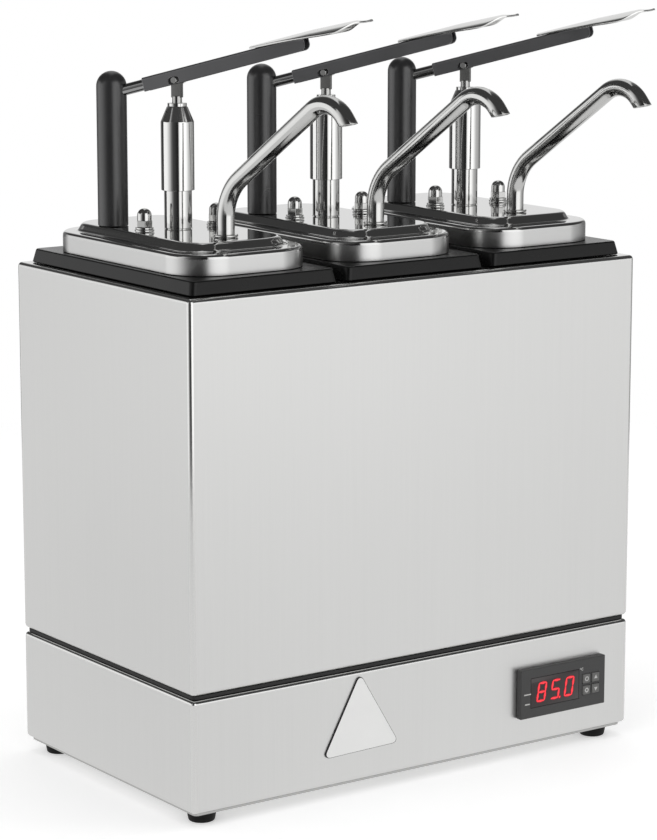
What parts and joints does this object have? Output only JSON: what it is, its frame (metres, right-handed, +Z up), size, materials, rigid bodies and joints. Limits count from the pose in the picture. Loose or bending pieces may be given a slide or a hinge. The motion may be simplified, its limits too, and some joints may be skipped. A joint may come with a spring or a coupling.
{
  "type": "hot fudge topping warmer",
  "caption": "Countertop warmer that keeps fudge hot in covered pans, each with a lever pump and a bent spout, above a base with a temperature controller.",
  "frame": {"origin": "on the table, under the middle of the whole outline seen from above", "axes": "+Z up, the front face with the controller and the spouts faces -Y, +X to the right seen from the front"},
  "size_m": [0.3846, 0.2939, 0.5128],
  "materials": {
    "brushed_steel": "brushed stainless sheet with folded edges",
    "plain_steel": "drawn stainless sheet",
    "polished_steel": "polished stainless",
    "mirror_steel": "mirror deck with a satin skirt",
    "dark_steel": "polished steel that mirrors a dark room",
    "black_plastic": "satin black plastic, turned or moulded",
    "display_black": "smoked red window",
    "button_grey": "matt dark grey",
    "rubber": "matt black rubber"
  },
  "bodies": {
    "housing": {"housing_upper": "brushed_steel", "housing_base": "brushed_steel", "divider": "black_plastic", "bottom_plate": "brushed_steel", "tank": "plain_steel", "heater": "plain_steel", "controller_case": "black_plastic", "display_window": "display_black", "cable_gland": "black_plastic", "foot_front_left": "rubber", "foot_front_right": "rubber", "foot_rear_left": "rubber", "foot_rear_right": "rubber", "collar_1": "black_plastic", "collar_2": "black_plastic", "collar_3": "black_plastic", "pan_1": "plain_steel", "pan_2": "plain_steel", "pan_3": "plain_steel"},
    "button_1_cap": {"button_1": "button_grey"},
    "button_2_cap": {"button_2": "button_grey"},
    "button_3_cap": {"button_3": "button_grey"},
    "button_4_cap": {"button_4": "button_grey"},
    "lid_assembly_1": {"lid_1": "mirror_steel", "pump_body_1": "polished_steel", "post_1": "black_plastic", "pivot_pin_1": "polished_steel", "spout_1": "polished_steel", "nut_left_1": "polished_steel", "nut_right_1": "polished_steel"},
    "plunger_assembly_1": {"plunger_1": "polished_steel", "sleeve_1": "polished_steel", "pivot_bolt_1": "polished_steel"},
    "lever_assembly_1": {"lever_1": "dark_steel", "thumb_pad_1": "polished_steel"},
    "lid_assembly_2": {"lid_2": "mirror_steel", "pump_body_2": "polished_steel", "post_2": "black_plastic", "pivot_pin_2": "polished_steel", "spout_2": "polished_steel", "nut_left_2": "polished_steel", "nut_right_2": "polished_steel"},
    "plunger_assembly_2": {"plunger_2": "polished_steel", "sleeve_2": "polished_steel", "pivot_bolt_2": "polished_steel"},
    "lever_assembly_2": {"lever_2": "dark_steel", "thumb_pad_2": "polished_steel"},
    "lid_assembly_3": {"lid_3": "mirror_steel", "pump_body_3": "polished_steel", "post_3": "black_plastic", "pivot_pin_3": "polished_steel", "spout_3": "polished_steel", "nut_left_3": "polished_steel", "nut_right_3": "polished_steel"},
    "plunger_assembly_3": {"plunger_3": "polished_steel", "sleeve_3": "polished_steel", "pivot_bolt_3": "polished_steel"},
    "lever_assembly_3": {"lever_3": "dark_steel", "thumb_pad_3": "polished_steel"}
  },
  "joints": [
    {"name": "button_1_press", "type": "slide", "parent": "housing", "child": "button_1_cap", "axis": [0, 1, 0], "range_m": [0, 0.0008], "stiffness_N_per_m": 300, "springref_m": -0.001},
    {"name": "button_2_press", "type": "slide", "parent": "housing", "child": "button_2_cap", "axis": [0, 1, 0], "range_m": [0, 0.0008], "stiffness_N_per_m": 300, "springref_m": -0.001},
    {"name": "button_3_press", "type": "slide", "parent": "housing", "child": "button_3_cap", "axis": [0, 1, 0], "range_m": [0, 0.0008], "stiffness_N_per_m": 300, "springref_m": -0.001},
    {"name": "button_4_press", "type": "slide", "parent": "housing", "child": "button_4_cap", "axis": [0, 1, 0], "range_m": [0, 0.0008], "stiffness_N_per_m": 300, "springref_m": -0.001},
    {"name": "lid_lift_1", "type": "slide", "parent": "housing", "child": "lid_assembly_1", "axis": [0, 0, 1], "range_m": [0, 0.19]},
    {"name": "lever_press_1", "type": "hinge", "parent": "lid_assembly_1", "child": "lever_assembly_1", "pos_m": [-0.15661, 0.0624, 0.4612], "axis": [0.809, 0.5878, 0], "range_deg": [0, 27]},
    {"name": "plunger_press_1", "type": "slide", "parent": "lid_assembly_1", "child": "plunger_assembly_1", "axis": [0, 0, -1], "range_m": [0, 0.0225], "stiffness_N_per_m": 600, "springref_m": -0.015},
    {"name": "lid_lift_2", "type": "slide", "parent": "housing", "child": "lid_assembly_2", "axis": [0, 0, 1], "range_m": [0, 0.19]},
    {"name": "lever_press_2", "type": "hinge", "parent": "lid_assembly_2", "child": "lever_assembly_2", "pos_m": [-0.03711, 0.0624, 0.4612], "axis": [0.809, 0.5878, 0], "range_deg": [0, 27]},
    {"name": "plunger_press_2", "type": "slide", "parent": "lid_assembly_2", "child": "plunger_assembly_2", "axis": [0, 0, -1], "range_m": [0, 0.0225], "stiffness_N_per_m": 600, "springref_m": -0.015},
    {"name": "lid_lift_3", "type": "slide", "parent": "housing", "child": "lid_assembly_3", "axis": [0, 0, 1], "range_m": [0, 0.19]},
    {"name": "lever_press_3", "type": "hinge", "parent": "lid_assembly_3", "child": "lever_assembly_3", "pos_m": [0.08239, 0.0624, 0.4612], "axis": [0.809, 0.5878, 0], "range_deg": [0, 27]},
    {"name": "plunger_press_3", "type": "slide", "parent": "lid_assembly_3", "child": "plunger_assembly_3", "axis": [0, 0, -1], "range_m": [0, 0.0225], "stiffness_N_per_m": 600, "springref_m": -0.015}
  ],
  "couplings": [
    {"joint": "plunger_press_1", "follows": "lever_press_1", "m_per_rad": 0.047356},
    {"joint": "plunger_press_2", "follows": "lever_press_2", "m_per_rad": 0.047356},
    {"joint": "plunger_press_3", "follows": "lever_press_3", "m_per_rad": 0.047356}
  ]
}
